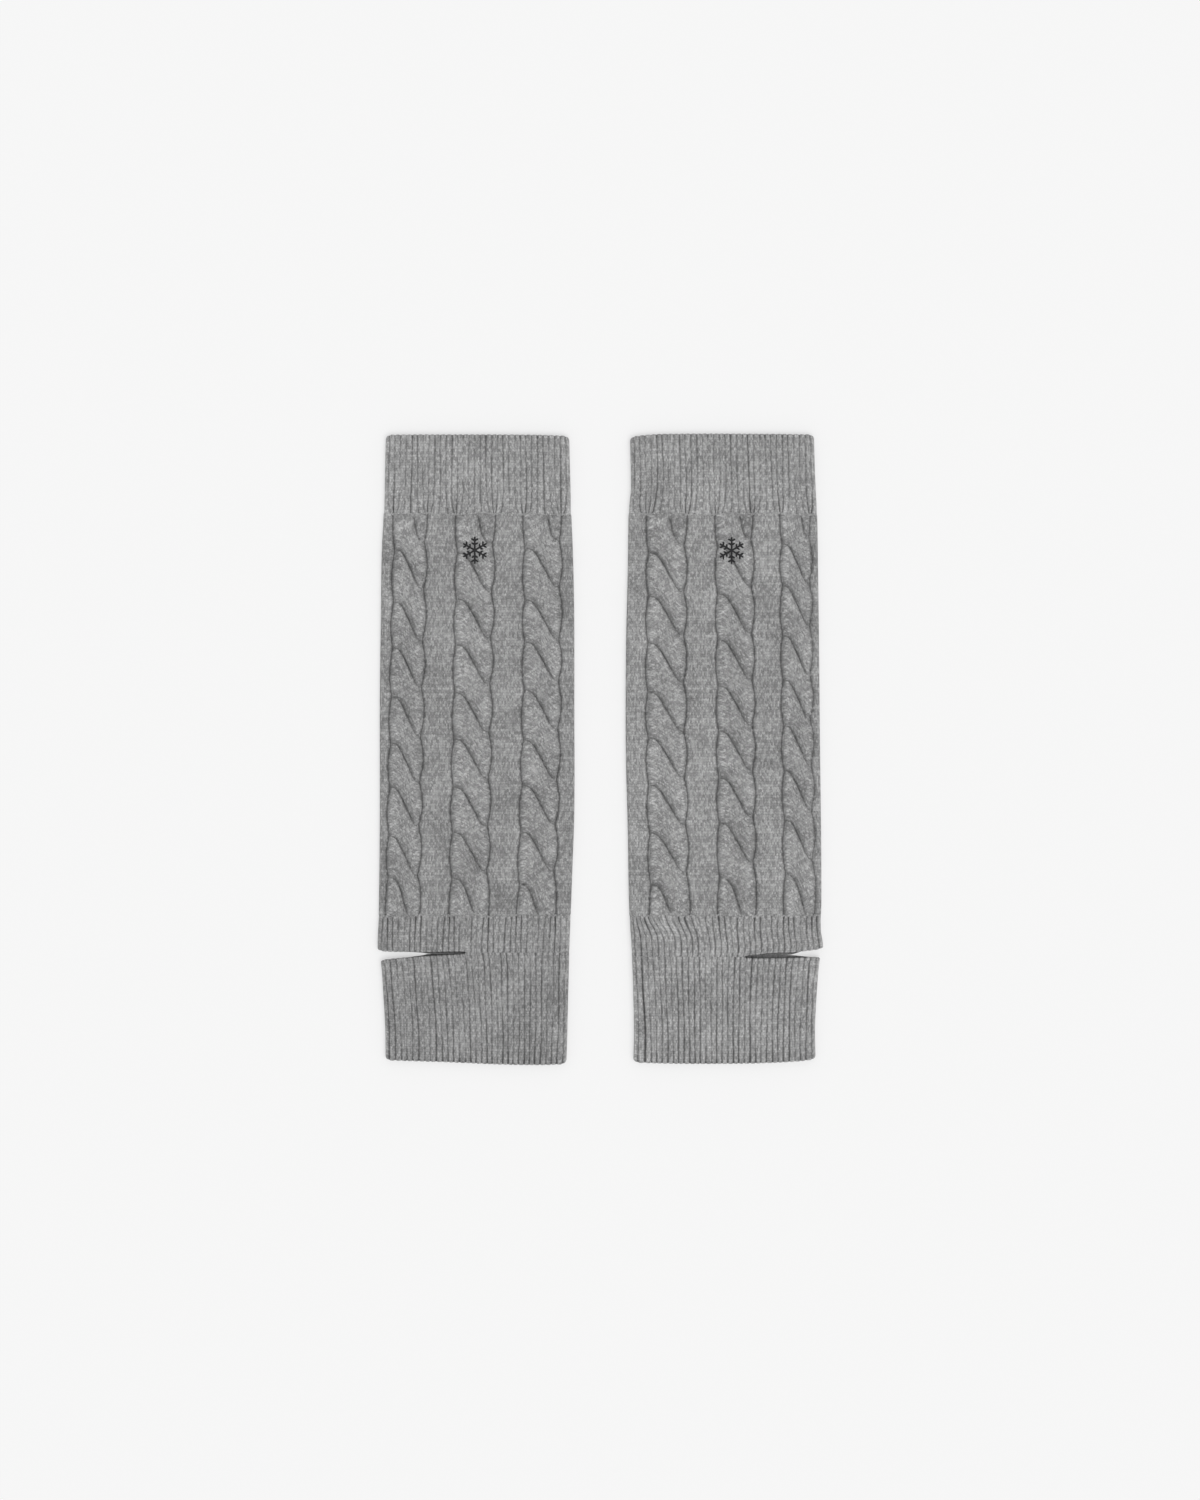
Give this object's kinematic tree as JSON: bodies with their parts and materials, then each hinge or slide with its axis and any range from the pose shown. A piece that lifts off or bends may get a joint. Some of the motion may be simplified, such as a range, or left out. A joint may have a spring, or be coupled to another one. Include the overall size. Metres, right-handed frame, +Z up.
{
  "type": "pair of leg warmers",
  "caption": "Pair of grey cable-knit leg warmers with ribbed top cuffs and ribbed ankle and foot cuffs parted by a heel slot, laid flat side by side.",
  "frame": {"origin": "on the surface that the pair lies on, midway between the two leg warmers and midway along their length", "axes": "+Y along the leg warmers towards their top hems, +X towards the right leg warmer, +Z up off the surface, out of the cabled front layer"},
  "size_m": [0.2969, 0.4206, 0.0081],
  "materials": {
    "grey_rib_knit": "heather-grey 1 x 1 rib knit, matt and slightly fuzzy",
    "grey_cable_knit": "heather-grey plain knit with raised cables, matt and slightly fuzzy"
  },
  "bodies": {
    "root": {"left_top_cuff": "grey_rib_knit", "left_leg": "grey_cable_knit", "left_ankle_rib": "grey_rib_knit", "left_foot_rib": "grey_rib_knit", "right_top_cuff": "grey_rib_knit", "right_leg": "grey_cable_knit", "right_ankle_rib": "grey_rib_knit", "right_foot_rib": "grey_rib_knit"}
  },
  "joints": []
}
